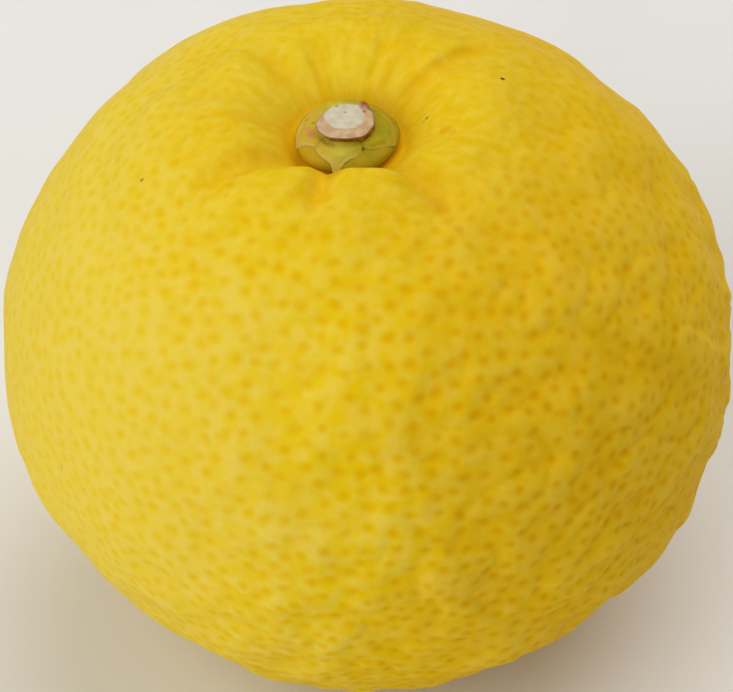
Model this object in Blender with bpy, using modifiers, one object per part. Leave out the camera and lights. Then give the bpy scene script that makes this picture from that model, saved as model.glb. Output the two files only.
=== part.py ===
# A yuzu as picked. The fruit rests on its blossom end. In the dimple at its stem end lie the
# floral disc, the calyx with its five sepals, and the stub of the cut stem.
# Metres, +Z up. The origin is on the surface that the fruit rests on, under its middle.

import math
import random

import bmesh
import bpy
from mathutils import Vector, kdtree, noise

MM = 0.001

# Driving dimensions
HALF_WIDTH = 35.0 * MM  # middle to the widest ring
TOP_RISE = 31.4 * MM  # middle to the crown, were there no dimple
BOTTOM_DROP = 30.0 * MM  # middle to the blossom end, were it not flat
REST_DROP = 29.3 * MM  # middle to the flat spot that the fruit rests on
SQUARENESS = 2.15  # 2 is an ellipse, and more makes broader shoulders
STEM_X = -1.7 * MM  # the stem end leans a little to the left
STEM_Y = 0.0 * MM

# The dimple at the stem end
FLOOR_RISE = 25.9 * MM  # middle to the dimple's flat floor
FLOOR_RADIUS = 5.5 * MM
REAR_RIM = 15.5 * MM  # where the wall has risen to the crown, behind and beside the stem
FRONT_RIM = 10.4 * MM  # the same in front, where the wall is steep
FRONT_AZIMUTH = math.radians(262)
FRONT_NARROWNESS = 1.5  # more makes the steep stretch of the wall shorter
WALL_BEND = 2.2  # 1 is a straight wall, and more is steeper at the floor and rounder at the rim

# Each furrow runs out from the dimple: azimuth in degrees, depth, half width, and reach
FURROWS = (
    (37, 0.9 * MM, 1.1 * MM, 21 * MM),
    (55, 0.6 * MM, 1.0 * MM, 16 * MM),
    (72, 0.5 * MM, 0.9 * MM, 13 * MM),
    (107, 0.6 * MM, 1.0 * MM, 14 * MM),
    (129, 0.7 * MM, 1.1 * MM, 17 * MM),
    (164, 0.7 * MM, 1.3 * MM, 18 * MM),
    (188, 0.4 * MM, 1.4 * MM, 17 * MM),
    (213, 1.7 * MM, 1.3 * MM, 19 * MM),
    (256, 1.7 * MM, 1.0 * MM, 15 * MM),
    (306, 1.7 * MM, 1.3 * MM, 18 * MM),
    (345, 0.5 * MM, 1.5 * MM, 17 * MM),
)
FURROW_FLARE = 0.4  # how much of a furrow's width grows with its distance from the stem

# Broad swellings of the skin: azimuth, elevation and spread in degrees, and height
SWELLINGS = (
    (0, 0, 22, 0.3 * MM),
    (22, 21, 16, 0.3 * MM),
    (50, 35, 10, 0.3 * MM),
    (62, 43, 22, -0.3 * MM),
    (158, 21, 18, -0.6 * MM),
    (180, 0, 18, 0.4 * MM),
    (214, -31, 26, -1.0 * MM),
    (256, -46, 18, -0.3 * MM),
    (313, -38, 16, -0.6 * MM),
    (331, -27, 14, 0.4 * MM),
    (345, -12, 12, -0.4 * MM),
)
LUMP_LENGTH, LUMP_HEIGHT = 13.0 * MM, 0.55 * MM
WRINKLE_LENGTH, WRINKLE_HEIGHT = 5.0 * MM, 0.20 * MM

# Oil pits, made larger than life: the real ones are 1.7 mm apart
PIT_SPACING = 4.1 * MM
PIT_DEPTH = 0.65 * MM
PIT_RADIUS = 2.0 * MM
PIT_SEED = 7
SMOOTH_RADIUS = 8.0 * MM  # no pits nearer the stem than this
SMOOTH_FOOT = 10.0 * MM  # nor nearer the middle of the flat spot

# The scar of the style, in the middle of the flat spot
SCAR_RADIUS = 2.6 * MM
SCAR_DEPTH = 0.9 * MM

SKIN_CELLS = 30  # along each side of the cube that the fruit starts from
POLE_CROWDING = 0.2  # draws the cells towards both ends, where the detail is

GAP = 0.3 * MM  # between pieces that touch

# The floral disc, a green button that the calyx lies on
DISC_RADIUS = 4.8 * MM
DISC_FOOT_RADIUS = 3.9 * MM
DISC_BELLY = 0.75 * MM  # its foot to its widest ring
DISC_THICKNESS = 1.4 * MM
DISC_TOP_RADIUS = 2.9 * MM  # its top is flat to here, under the stub, and domed from here out
DISC_TOP_RINGS, DISC_FOOT_RINGS = 7, 4
DISC_SIDES = 40

# The calyx: azimuth of each sepal's tip in degrees, and its reach
SEPALS = (
    (256, 5.6 * MM),
    (343, 4.9 * MM),
    (60, 4.7 * MM),
    (124, 4.8 * MM),
    (199, 5.0 * MM),
)
SEPAL_NOTCH = 3.6 * MM  # middle to the notch between two sepals
SEPAL_BLADE = 0.6  # share of a sepal's reach past the notch that is its broad blade
SEPAL_POINT = 5  # more makes the point at its end narrower
SEPAL_THICKNESS = 0.55 * MM
SEPAL_DROOP = 0.6  # slope of a tip where it bends down past the disc
CALYX_HOLE = 2.85 * MM  # radius of the hole that the stem comes through
CALYX_SIDES, CALYX_RINGS = 80, 12

# The stub of the cut stem
STUB_RADIUS = 2.8 * MM
STUB_FOOT = 2.35 * MM
STUB_HEIGHT = 0.95 * MM
STUB_FLATNESS = 0.9  # its depth to its width
STUB_TURN = math.radians(20)
STUB_SIDES = 36
BARK_THICKNESS = 0.75 * MM
WOOD_RISE = 0.1 * MM  # the wood stands over the bark on the cut face
CUT_BEVEL = 0.1 * MM


def ease_in(low, high, value):
    # 0 up to low and 1 from high, in a straight line.
    return min(1.0, max(0.0, (value - low) / (high - low)))


def ease(low, high, value):
    # 0 up to low, 1 from high, and smooth in between.
    share = ease_in(low, high, value)
    return share * share * (3 - 2 * share)


def turned(azimuth, elevation):
    # The unit vector at this azimuth and elevation in degrees.
    a, e = math.radians(azimuth), math.radians(elevation)
    return Vector((math.cos(a) * math.cos(e), math.sin(a) * math.cos(e), math.sin(e)))


def from_stem(point):
    # Distance and azimuth of a point from the stem's axis, seen from above.
    x, y = point.x - STEM_X, point.y - STEM_Y
    return math.hypot(x, y), math.atan2(y, x)


def body_point(direction):
    # The plain body: an oblate superellipsoid about the fruit's middle.
    height = TOP_RISE if direction.z > 0 else BOTTOM_DROP
    across = math.hypot(direction.x, direction.y) / HALF_WIDTH
    along = abs(direction.z) / height
    reach = (across**SQUARENESS + along**SQUARENESS) ** (-1 / SQUARENESS)
    return direction * reach


def relief(direction, point):
    # Height of the swellings, lumps and wrinkles over the plain body.
    height = 0.0
    for azimuth, elevation, spread, rise in SWELLINGS:
        angle = math.degrees(direction.angle(turned(azimuth, elevation)))
        height += rise * math.exp(-((angle / spread) ** 2))
    height += LUMP_HEIGHT * noise.noise(point / LUMP_LENGTH)
    height += WRINKLE_HEIGHT * noise.noise(point / WRINKLE_LENGTH)
    return height


def furrow_depth(away, azimuth):
    # Each furrow is a groove along a ray from the stem. It widens and fades on its way out.
    depth = 0.0
    widening = 1 - FURROW_FLARE + FURROW_FLARE * away / FLOOR_RADIUS
    for heading, deepest, half_width, reach in FURROWS:
        turn = azimuth - math.radians(heading)
        if math.cos(turn) > 0:
            aside = away * math.sin(turn) / (half_width * widening)
            depth += deepest * math.exp(-(aside**2)) * (1 - ease(FRONT_RIM, reach, away))
    return depth


def wall_share(rim, away):
    # 0 on the dimple's floor and 1 from its rim on.
    return 1 - (1 - ease_in(FLOOR_RADIUS, rim, away)) ** WALL_BEND


def skin_point(direction):
    # The fruit's surface in this direction from its middle, before the pits.
    point = body_point(direction)
    point += direction * relief(direction, point)
    if direction.z <= 0:
        return point
    away, azimuth = from_stem(point)
    in_front = max(0.0, math.cos(azimuth - FRONT_AZIMUTH)) ** FRONT_NARROWNESS
    rim = REAR_RIM + (FRONT_RIM - REAR_RIM) * in_front
    crown = point.z - furrow_depth(away, azimuth)
    point.z = FLOOR_RISE + (crown - FLOOR_RISE) * wall_share(rim, away)
    return point


def crowded(direction):
    # The same direction drawn towards the nearer pole, which makes the cells there smaller.
    across = math.hypot(direction.x, direction.y)
    if across == 0:
        return direction
    tilt = math.atan2(across, direction.z)
    tilt -= POLE_CROWDING * math.sin(2 * tilt) / 2
    share = math.sin(tilt) / across
    return Vector((direction.x * share, direction.y * share, math.cos(tilt)))


def even_direction(corner):
    # A cube's grid point as a direction, with each cell about as wide as the next.
    eased = Vector(math.tan(side * math.pi / 4) for side in corner)
    return crowded(eased.normalized())


def pit_centres(points):
    # Points drawn in a seeded random order, and kept where no kept one is nearer than the spacing.
    order = list(range(len(points)))
    random.Random(PIT_SEED).shuffle(order)
    kept = []
    for index in order:
        point = points[index]
        near_stem = point.z > 0 and from_stem(point)[0] < SMOOTH_RADIUS
        near_foot = point.z < 0 and math.hypot(point.x, point.y) < SMOOTH_FOOT
        if near_stem or near_foot:
            continue
        if all((point - other).length_squared > PIT_SPACING**2 for other in kept):
            kept.append(point)
    return kept


def pit_depths(points):
    # How deep the nearest pit is at each point.
    centres = pit_centres(points)
    tree = kdtree.KDTree(len(centres))
    for index, centre in enumerate(centres):
        tree.insert(centre, index)
    tree.balance()
    return [PIT_DEPTH * (1 - ease(0, PIT_RADIUS, tree.find(point)[2])) for point in points]


def set_on_foot(point):
    # Moves a point up so that the fruit stands on z = 0, flat where it rests, with the style's scar.
    stood = point + Vector((0, 0, REST_DROP))
    if stood.z < 0:
        away = math.hypot(stood.x, stood.y)
        stood.z = SCAR_DEPTH * (1 - ease(0, SCAR_RADIUS, away))
    return stood


def new_object(name, mesh, collection):
    made = bpy.data.objects.new(name, mesh)
    collection.objects.link(made)
    return made


def plain_material(name, colour, roughness):
    made = bpy.data.materials.new(name)
    made.use_nodes = True
    shader = made.node_tree.nodes["Principled BSDF"]
    shader.inputs["Base Color"].default_value = (*colour, 1)
    shader.inputs["Roughness"].default_value = roughness
    shader.inputs["Metallic"].default_value = 0
    return made


def make_fruit(collection):
    mesh = bpy.data.meshes.new("fruit")
    shape = bmesh.new()
    bmesh.ops.create_cube(shape, size=2)
    bmesh.ops.subdivide_edges(shape, edges=shape.edges, cuts=SKIN_CELLS - 1, use_grid_fill=True)
    directions = [even_direction(vertex.co) for vertex in shape.verts]
    points = [skin_point(direction) for direction in directions]
    depths = pit_depths(points)
    for vertex, direction, point, depth in zip(shape.verts, directions, points, depths):
        vertex.co = set_on_foot(point - direction * depth)
    bmesh.ops.triangulate(shape, faces=shape.faces)
    shape.to_mesh(mesh)
    shape.free()
    mesh.shade_smooth()
    mesh.materials.append(plain_material("yuzu rind", (0.74, 0.50, 0.035), 0.45))
    return new_object("fruit", mesh, collection)


def turn_profile(name, profile, sides, material, collection):
    # A closed turned solid. The profile runs down its outer side at +X, top to bottom.
    mesh = bpy.data.meshes.new(name)
    edges = [(i, i + 1) for i in range(len(profile) - 1)]
    mesh.from_pydata([(x, 0, z) for x, z in profile], edges, [])
    mesh.materials.append(material)
    made = new_object(name, mesh, collection)
    screw = made.modifiers.new("turn", "SCREW")
    screw.steps = screw.render_steps = sides
    screw.use_merge_vertices = True
    screw.merge_threshold = 0.00001
    return made


def disc_height(away):
    # The disc's upper side over its foot: flat under the stub, then a quarter of an ellipse.
    share = ease_in(DISC_TOP_RADIUS, DISC_RADIUS, away)
    return DISC_BELLY + (DISC_THICKNESS - DISC_BELLY) * math.sqrt(1 - share**2)


def disc_profile():
    # Its upper side, its widest ring, and below that a quarter turn in to its flat foot.
    profile = [(0, DISC_THICKNESS)]
    for ring in range(DISC_TOP_RINGS + 1):
        turn = math.pi / 2 * ring / DISC_TOP_RINGS
        away = DISC_TOP_RADIUS + (DISC_RADIUS - DISC_TOP_RADIUS) * math.sin(turn)
        profile.append((away, disc_height(away)))
    for ring in range(1, DISC_FOOT_RINGS + 1):
        turn = math.pi / 2 * ring / DISC_FOOT_RINGS
        away = DISC_FOOT_RADIUS + (DISC_RADIUS - DISC_FOOT_RADIUS) * math.cos(turn)
        profile.append((away, DISC_BELLY * (1 - math.sin(turn))))
    return profile + [(0, 0)]


def make_disc(collection, foot):
    green = plain_material("green button", (0.21, 0.22, 0.02), 0.5)
    disc = turn_profile("floral_disc", disc_profile(), DISC_SIDES, green, collection)
    disc.location = (STEM_X, STEM_Y, foot)


def sepal_reach(azimuth):
    # The star's outline: a broad blade on each side of a sepal, with a narrow point at its end.
    heading = math.degrees(azimuth)
    for (tip, reach), (next_tip, next_reach) in zip(SEPALS, SEPALS[1:] + SEPALS[:1]):
        share = (heading - tip) % 360 / ((next_tip - tip) % 360)
        if share <= 1:
            near, out = (reach, 1 - 2 * share) if share < 0.5 else (next_reach, 2 * share - 1)
            blade = SEPAL_BLADE * math.sin(out * math.pi / 2)
            point = (1 - SEPAL_BLADE) * out**SEPAL_POINT
            return SEPAL_NOTCH + (near - SEPAL_NOTCH) * (blade + point)
    return SEPAL_NOTCH


def make_calyx(collection, foot):
    # A torus pressed flat on the disc's upper side, with its outer rim drawn out to the star.
    bpy.ops.mesh.primitive_torus_add(
        major_segments=CALYX_SIDES, minor_segments=CALYX_RINGS, major_radius=1, minor_radius=0.5
    )
    calyx = bpy.context.object
    calyx.name = calyx.data.name = "calyx"
    for vertex in calyx.data.vertices:
        azimuth = math.atan2(vertex.co.y, vertex.co.x)
        outward = math.hypot(vertex.co.x, vertex.co.y) - 0.5  # 0 at the hole and 1 at the rim
        upward = vertex.co.z + 0.5  # 0 below and 1 above
        away = CALYX_HOLE + outward * (sepal_reach(azimuth) - CALYX_HOLE)
        height = disc_height(away) - DISC_THICKNESS + SEPAL_THICKNESS * upward
        height -= SEPAL_DROOP * max(0.0, away - DISC_RADIUS)
        vertex.co = (away * math.cos(azimuth), away * math.sin(azimuth), height)
    calyx.data.shade_smooth()
    calyx.location = (STEM_X, STEM_Y, foot)
    calyx.data.materials.append(plain_material("dry sepal", (0.36, 0.32, 0.05), 0.6))
    bpy.context.collection.objects.unlink(calyx)
    collection.objects.link(calyx)


def make_stub(collection, foot):
    wood = STUB_RADIUS - BARK_THICKNESS
    profile = [
        (0, STUB_HEIGHT + WOOD_RISE),
        (wood - CUT_BEVEL, STUB_HEIGHT + WOOD_RISE),
        (wood, STUB_HEIGHT),
        (STUB_RADIUS - CUT_BEVEL, STUB_HEIGHT),
        (STUB_RADIUS, STUB_HEIGHT - CUT_BEVEL),
        (STUB_FOOT, 0),
        (0, 0),
    ]
    cut_wood = plain_material("cut stem", (0.50, 0.42, 0.30), 0.7)
    stub = turn_profile("stem_stub", profile, STUB_SIDES, cut_wood, collection)
    stub.location = (STEM_X, STEM_Y, foot)
    stub.rotation_euler.z = STUB_TURN
    stub.scale.y = STUB_FLATNESS


def main():
    for old in list(bpy.data.objects):
        bpy.data.objects.remove(old)
    yuzu = bpy.data.collections.new("yuzu")
    bpy.context.scene.collection.children.link(yuzu)
    make_fruit(yuzu)
    disc_foot = REST_DROP + FLOOR_RISE + GAP
    make_disc(yuzu, disc_foot)
    over_disc = disc_foot + DISC_THICKNESS + GAP
    make_calyx(yuzu, over_disc)
    make_stub(yuzu, over_disc)


main()
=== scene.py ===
# The looks of a yuzu: its pitted rind, and the floral disc, calyx and cut stem in its dimple.
import math
import random

import bpy
import numpy as np
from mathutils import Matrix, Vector, kdtree, noise


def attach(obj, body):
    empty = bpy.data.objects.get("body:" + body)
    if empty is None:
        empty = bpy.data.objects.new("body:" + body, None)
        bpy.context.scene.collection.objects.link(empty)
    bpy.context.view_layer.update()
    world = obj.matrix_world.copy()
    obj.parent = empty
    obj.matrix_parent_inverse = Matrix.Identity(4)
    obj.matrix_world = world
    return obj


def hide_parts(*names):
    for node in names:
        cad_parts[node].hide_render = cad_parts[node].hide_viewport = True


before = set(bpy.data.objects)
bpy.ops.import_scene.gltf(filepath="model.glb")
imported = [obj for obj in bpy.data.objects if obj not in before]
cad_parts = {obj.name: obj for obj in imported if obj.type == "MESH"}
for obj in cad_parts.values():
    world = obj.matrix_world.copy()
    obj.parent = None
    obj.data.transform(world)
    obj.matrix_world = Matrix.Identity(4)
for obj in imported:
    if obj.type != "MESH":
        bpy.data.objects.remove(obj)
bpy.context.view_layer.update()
mm = 0.001
print("frame loaded:", sorted(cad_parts))


def easeIn(low, high, value):  # 0 up to low and 1 from high, in a straight line
    return np.clip((value - low) / (high - low), 0.0, 1.0)


def ease(low, high, value):  # the same, but smooth at both ends
    share = easeIn(low, high, value)
    return share * share * (3 - 2 * share)


def inZone(fadeIn, full, fadeOut, gone, value):  # up from the first to the second, and down again
    return ease(fadeIn, full, value) * (1 - ease(fadeOut, gone, value))


def atLeast(least, share):  # a share from 0 to 1 becomes one from least to 1
    return least + (1 - least) * share


def metres(sizes):  # from millimetres
    return [size * mm for size in sizes]


def noiseAt(points, length):  # one smooth random value for each point, from about -1 to 1
    return np.array([noise.noise(point) for point in (points / length).tolist()])


def hexColour(text):  # an sRGB hex value as a linear colour
    values = [int(text[i:i + 2], 16) / 255 for i in (0, 2, 4)]
    linear = [v / 12.92 if v <= 0.04045 else ((v + 0.055) / 1.055) ** 2.4 for v in values]
    return (*linear, 1.0)


def setInputs(tree, node, inputs):  # values and hex colours are set, sockets are linked
    for key, value in inputs.items() if isinstance(inputs, dict) else enumerate(inputs):
        if isinstance(value, bpy.types.NodeSocket):
            tree.links.new(value, node.inputs[key])
        else:
            node.inputs[key].default_value = hexColour(value) if isinstance(value, str) else value


def addNode(tree, kind, inputs=(), settings=None, stops=None, output=0):
    # settings are the node's own properties, stops a ramp's, output the socket or sockets that are wanted
    node = tree.nodes.new("ShaderNode" + kind)
    for name, value in (settings or {}).items():
        setattr(node, name, value)
    setInputs(tree, node, inputs)
    if stops:
        elements = node.color_ramp.elements
        while len(elements) < len(stops):
            elements.new(1.0)
        for element, (place, tone) in zip(elements, stops):
            element.position = place
            element.color = hexColour(tone) if isinstance(tone, str) else (tone, tone, tone, 1)
    if isinstance(output, tuple):
        return [node.outputs[key] for key in output]
    return node.outputs[output]


# Settings that many nodes share
smoothStep = {"interpolation_type": "SMOOTHSTEP"}
colourMix = {"data_type": "RGBA"}
colourTint = {"data_type": "RGBA", "blend_type": "MULTIPLY"}  # it multiplies what lies under it
total = {"operation": "ADD"}
difference = {"operation": "SUBTRACT"}
product = {"operation": "MULTIPLY"}
productPlus = {"operation": "MULTIPLY_ADD"}
lengthOf = {"operation": "LENGTH"}
distanceOf = {"operation": "DISTANCE"}


def noiseInputs(place, length, detail):  # for a noise whose patches are so long
    return {"Vector": place, "Scale": 1 / length, "Detail": detail}


def flattened(tree, vector):  # without its z, and how long it is then
    flat = addNode(tree, "VectorMath", (vector, (1, 1, 0)), product)
    return flat, addNode(tree, "VectorMath", (flat,), lengthOf, output="Value")


def stepTimes(tree, given, factor):  # a smooth step between the given values, times a factor
    return addNode(tree, "Math", (addNode(tree, "MapRange", given, smoothStep), factor), product)


def addLayers(tree, colour, layers):
    # Each layer has a value, where it starts and is full, its greatest share, and its tone
    for value, start, full, most, tone in layers:
        share = addNode(tree, "MapRange", (value, start, full, 0.0, most), smoothStep)
        colour = addNode(tree, "Mix", {0: share, 6: colour, 7: tone}, colourMix, output=2)
    return colour


def finishSurface(tree, shader, place, grain, given):
    # A fine grain in the bump: its length, its detail and its height in mm
    length, detail, height = grain
    rise = addNode(tree, "TexNoise", noiseInputs(place, length, detail))
    rise = addNode(tree, "Math", (rise, height), product)
    bump = addNode(tree, "Bump", {"Distance": mm, "Height": rise})
    setInputs(tree, shader, {"Normal": bump, **given})


def addMarks(tree, colour, place, marks, fade, uneven=0.0, squash=(1, 1, 1)):
    # Squash makes some directions count for less
    start, full = fade
    squashed = addNode(tree, "VectorMath", (place, squash), product)
    for spot, radius, tone, strength in marks:
        spot = tuple(value * share * mm for value, share in zip(spot, squash))
        radius *= mm
        apart = addNode(tree, "VectorMath", (squashed, spot), distanceOf, output="Value")
        apart = addNode(tree, "Math", (uneven, radius, apart), productPlus)
        colour = addLayers(tree, colour, [(apart, radius * start, radius * full, strength, tone)])
    return colour


def newMaterial(name):
    material = bpy.data.materials.new(name)
    material.use_nodes = True
    return material, material.node_tree, material.node_tree.nodes["Principled BSDF"]


def readPoints(mesh):
    flat = np.zeros(len(mesh.vertices) * 3)
    mesh.vertices.foreach_get("co", flat)
    return flat.reshape(-1, 3)


def writePoints(mesh, points):
    mesh.vertices.foreach_set("co", points.astype(np.float32).ravel())
    mesh.update()


def giveAttribute(mesh, name, domain, values):  # one number or three for each point or corner
    kind, key = ("FLOAT", "value") if values.ndim == 1 else ("FLOAT_VECTOR", "vector")
    attribute = mesh.attributes.new(name, kind, domain)
    attribute.data.foreach_set(key, values.astype(np.float32).ravel())


def direction(azimuth, elevation):  # both in degrees
    a, e = math.radians(azimuth), math.radians(elevation)
    return math.cos(a) * math.cos(e), math.sin(a) * math.cos(e), math.sin(e)


def degreesFrom(heading, azimuth):  # from -180 to 180, for azimuths in radians
    return (np.degrees(azimuth) - heading + 180) % 360 - 180


def ringPlaces(azimuth, count, outward):  # places for noise that runs out from the stem in so many ribs
    return np.column_stack((np.cos(azimuth) * count, np.sin(azimuth) * count, outward))


def newPiece(name, addPrimitive, **given):  # a primitive under its own name
    bpy.ops.object.select_all(action="DESELECT")
    addPrimitive(**given)
    piece = bpy.context.object
    piece.name = piece.data.name = name
    return piece


def finishPiece(piece, material, node):
    piece.data.materials.clear()
    piece.data.materials.append(material)
    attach(piece, "root")
    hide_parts(node)
    triangles = sum(len(face.vertices) - 2 for face in piece.data.polygons)
    print(f"{piece.name} made: {triangles} triangles")


# The fruit's form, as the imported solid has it
fruit = {
    "halfWidth": 35.0 * mm,
    "topRise": 31.4 * mm,
    "bottomDrop": 30.0 * mm,
    "restDrop": 29.3 * mm,
    "squareness": 2.15,
    "stem": (-1.7 * mm, 0.0),
    "floorRise": 25.9 * mm,
    "floorRadius": 5.5 * mm,
    "rearRim": 15.5 * mm,
    "frontRim": 10.4 * mm,
    "frontAzimuth": 262,
    "frontNarrowness": 1.5,
    "wallBend": 2.2,
    "furrowFlare": 0.4,
    "furrows": (  # azimuth, then depth, half width and reach in mm
        (37, 0.9, 1.1, 21), (55, 0.6, 1.0, 16), (72, 0.5, 0.9, 13), (107, 0.6, 1.0, 14),
        (129, 0.7, 1.1, 17), (164, 0.7, 1.3, 18), (188, 0.4, 1.4, 17), (213, 1.7, 1.3, 19),
        (256, 1.7, 1.0, 15), (306, 1.7, 1.3, 18), (345, 0.5, 1.5, 17),
    ),
    "swellings": (  # azimuth, elevation and spread in degrees, then height in mm
        (0, 0, 22, 0.3), (22, 21, 16, 0.3), (50, 35, 10, 0.3), (62, 43, 22, -0.3),
        (158, 21, 18, -0.6), (180, 0, 18, 0.4), (214, -31, 26, -1.0), (256, -46, 18, -0.3),
        (313, -38, 16, -0.6), (331, -27, 14, 0.4), (345, -12, 12, -0.4),
    ),
    "lumps": ((13.0 * mm, 0.55 * mm), (5.0 * mm, 0.20 * mm)),  # length and height
    "scar": (2.6 * mm, 0.9 * mm),
    "poleCrowding": 0.2,
    "cells": (8, 16),  # the cube's sides are cut into 8, and each of those into 16
}


def bodyDirections(corners):  # a cube's grid points as directions, with cells of like size
    eased = np.tan(corners * math.pi / 4)
    eased /= np.linalg.norm(eased, axis=1)[:, None]
    across = np.hypot(eased[:, 0], eased[:, 1])
    tilt = np.arctan2(across, eased[:, 2])
    tilt -= fruit["poleCrowding"] * np.sin(2 * tilt) / 2
    share = np.sin(tilt) / np.maximum(across, 1e-12)
    return np.column_stack((eased[:, 0] * share, eased[:, 1] * share, np.cos(tilt)))


def fromStem(points):  # distance and azimuth from the stem's axis, seen from above
    x, y = points[:, 0] - fruit["stem"][0], points[:, 1] - fruit["stem"][1]
    return np.hypot(x, y), np.arctan2(y, x)


def skinPoints(directions):
    upper = directions[:, 2] > 0
    height = np.where(upper, fruit["topRise"], fruit["bottomDrop"])
    across = np.hypot(directions[:, 0], directions[:, 1]) / fruit["halfWidth"]
    along = np.abs(directions[:, 2]) / height
    square = fruit["squareness"]
    points = directions * ((across**square + along**square) ** (-1 / square))[:, None]
    relief = sum(tall * noiseAt(points, length) for length, tall in fruit["lumps"])
    for azimuth, elevation, spread, rise in fruit["swellings"]:
        middle = direction(azimuth, elevation)
        angle = np.degrees(np.arccos(np.clip(directions @ middle, -1, 1)))
        relief += rise * mm * np.exp(-((angle / spread) ** 2))
    points += directions * relief[:, None]
    away, azimuth = fromStem(points)
    inFront = np.maximum(0, np.cos(azimuth - math.radians(fruit["frontAzimuth"])))
    inFront **= fruit["frontNarrowness"]
    rim = fruit["rearRim"] + (fruit["frontRim"] - fruit["rearRim"]) * inFront
    widening = 1 - fruit["furrowFlare"] + fruit["furrowFlare"] * away / fruit["floorRadius"]
    furrow = np.zeros(len(points))
    for heading, *sizes in fruit["furrows"]:
        deepest, halfWidth, reach = metres(sizes)
        turn = azimuth - math.radians(heading)
        aside = away * np.sin(turn) / (halfWidth * widening)
        depth = deepest * np.exp(-(aside**2)) * (1 - ease(fruit["frontRim"], reach, away))
        furrow += np.where(np.cos(turn) > 0, depth, 0)
    wall = 1 - (1 - easeIn(fruit["floorRadius"], rim, away)) ** fruit["wallBend"]
    crown = points[:, 2] - furrow
    dimple = fruit["floorRise"] + (crown - fruit["floorRise"]) * wall
    points[:, 2] = np.where(upper, dimple, points[:, 2])
    return points, np.where(upper, furrow, 0)


# The oil pits, at their real size. A zone has a direction, its spread in degrees, and the share
# that holds elsewhere and in the zone's middle
pits = {
    "apart": (1.5 * mm, 2.2 * mm),  # each pit draws its own least distance to the others
    "apartShare": 0.8,  # of a neighbour's least distance, which holds too
    "sparse": ((0.0, -0.74, 0.62), 38, 0.78, 1.0),  # the zone where they are furthest apart
    "jitter": 0.25 * mm,
    "radius": (0.44 * mm, 0.55 * mm),
    "large": ((-0.38, -0.67, 0.62), 45, 0.88, 1.17),  # the zone where they are largest
    "fadedRadius": 0.7,  # share of the radius that is left where they fade
    "crowded": 2.4,  # a pit's radius is at most the way to the next one over this
    "depth": (0.025 * mm, 0.065 * mm),
    "fadedDepth": 0.15,
    "smoothDepth": (0.5, -0.3, 0.7),  # share of the depth on the smooth side, and where it is full
    "dent": 1.9,  # a dent's radius to the pit's
    "dot": 1.6,  # and its amber dot's
    "strength": (0.82, 1.0),  # how amber the dot is
    "faint": ((0.50, 0.25, 0.83), 38, 1.0, 0.5),  # the zone where they are shallow and pale
    "stemFade": (5 * mm, 21 * mm),  # pits fade in between these distances from the stem
    "stemPull": (7 * mm, 13 * mm),  # and between these they stop being drawn out along the ribs
    "stemStretch": 1.8,
    "sideStretch": (0.0, 0.45),  # and elsewhere a little round the fruit
    "sideTurn": 0.7,  # radians either way
    "footFade": (7 * mm, 11 * mm),
    "names": ("pitFirst", "pitSecond", "pitThird"),  # each face knows the three pits nearest to it
    "seed": 11,
}
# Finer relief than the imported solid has
texture = {
    "pebble": (1.9 * mm, 0.16 * mm),
    "swell": (4.8 * mm, 0.40 * mm),
    "fullRise": 0.25 * mm,  # the relief and the furrow that the rind's material gets as 1
    "fullFurrow": 1.4 * mm,
    "roughFrom": (-0.5, 0.8),  # from the smooth side to the rough one
    "crease": (3.0 * mm, 0.29 * mm),  # sharp little valleys round the fruit, deepest low on the right
    "creaseLength": 1.6,  # times their width
    "creaseThin": 3.0,
    "creaseMiddle": (0.70, -0.56, -0.42),
    "least": 0.25,  # share of the relief on the smooth side
    "stemShare": (0.75, 0.5),  # of the pebbles and swells round the stem, as far as the next lengths
    "stemReach": (16 * mm, 31 * mm),
    "ribs": ((5.5, 0.08 * mm), (11.0, 0.05 * mm)),  # they run out from the stem: how many, how tall
    "ribLength": 9 * mm,
    "wrinkle": (4.0, 0.16 * mm, 5.0),  # thin wrinkles that do so too: how many, how deep, how thin
    "wrinkleLength": 10 * mm,
    "wrinkleStart": 3,  # it sets them apart from the ribs
    "wrinkleSide": (-0.85, -0.2),  # they are weaker in front
    "wrinkleGaps": (6 * mm, 0.3),  # they come and go
    "lines": (  # a few longer ones: azimuth, then from, to, half width and depth in mm
        (42, 5.5, 19, 0.55, 0.34), (22, 6, 13, 0.5, 0.16), (63, 6, 13, 0.5, 0.20),
        (83, 6, 11, 0.45, 0.16), (112, 6, 12, 0.45, 0.16), (133, 6, 14, 0.5, 0.22),
        (154, 6, 14, 0.5, 0.16), (178, 5.5, 16, 0.5, 0.26),
    ),
    "lineSway": (5 * mm, 0.8),
    "lineEnds": (2 * mm, 5 * mm),
    "lineAmberAndShade": 5,  # they are as amber, partly painted shade, as furrows so much deeper
    "ribZone": (5.0 * mm, 6.5 * mm, 8.0 * mm, 14.0 * mm),  # fades in and out again
    "ribSide": (0.12, 0.35, 0.95),  # share in front, and where they reach the full height behind the stem
    "lips": (  # drops of the dimple's front edge: azimuth, then distance, spread and drop in mm
        (230, 7.4, 2.5, 1.15), (221, 9.6, 1.8, 0.7), (300, 7.6, 1.6, 0.35), (262, 7.0, 1.7, 0.6),
        (248, 6.4, 0.8, -0.35), (256, 6.8, 0.9, -0.15), (256, 8.8, 1.2, -0.5), (256, 10.8, 1.3, -0.4),
        (286, 7.0, 2.0, 0.4),
    ),
}


def zoned(zone, places):  # changes smoothly from elsewhere to the zone's middle
    middle, spread, elsewhere, there = zone
    outward = places / np.linalg.norm(places, axis=1)[:, None]
    angle = np.degrees(np.arccos(np.clip(outward @ Vector(middle).normalized(), -1, 1)))
    return elsewhere + (there - elsewhere) * np.exp(-((angle / spread) ** 2))


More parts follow.
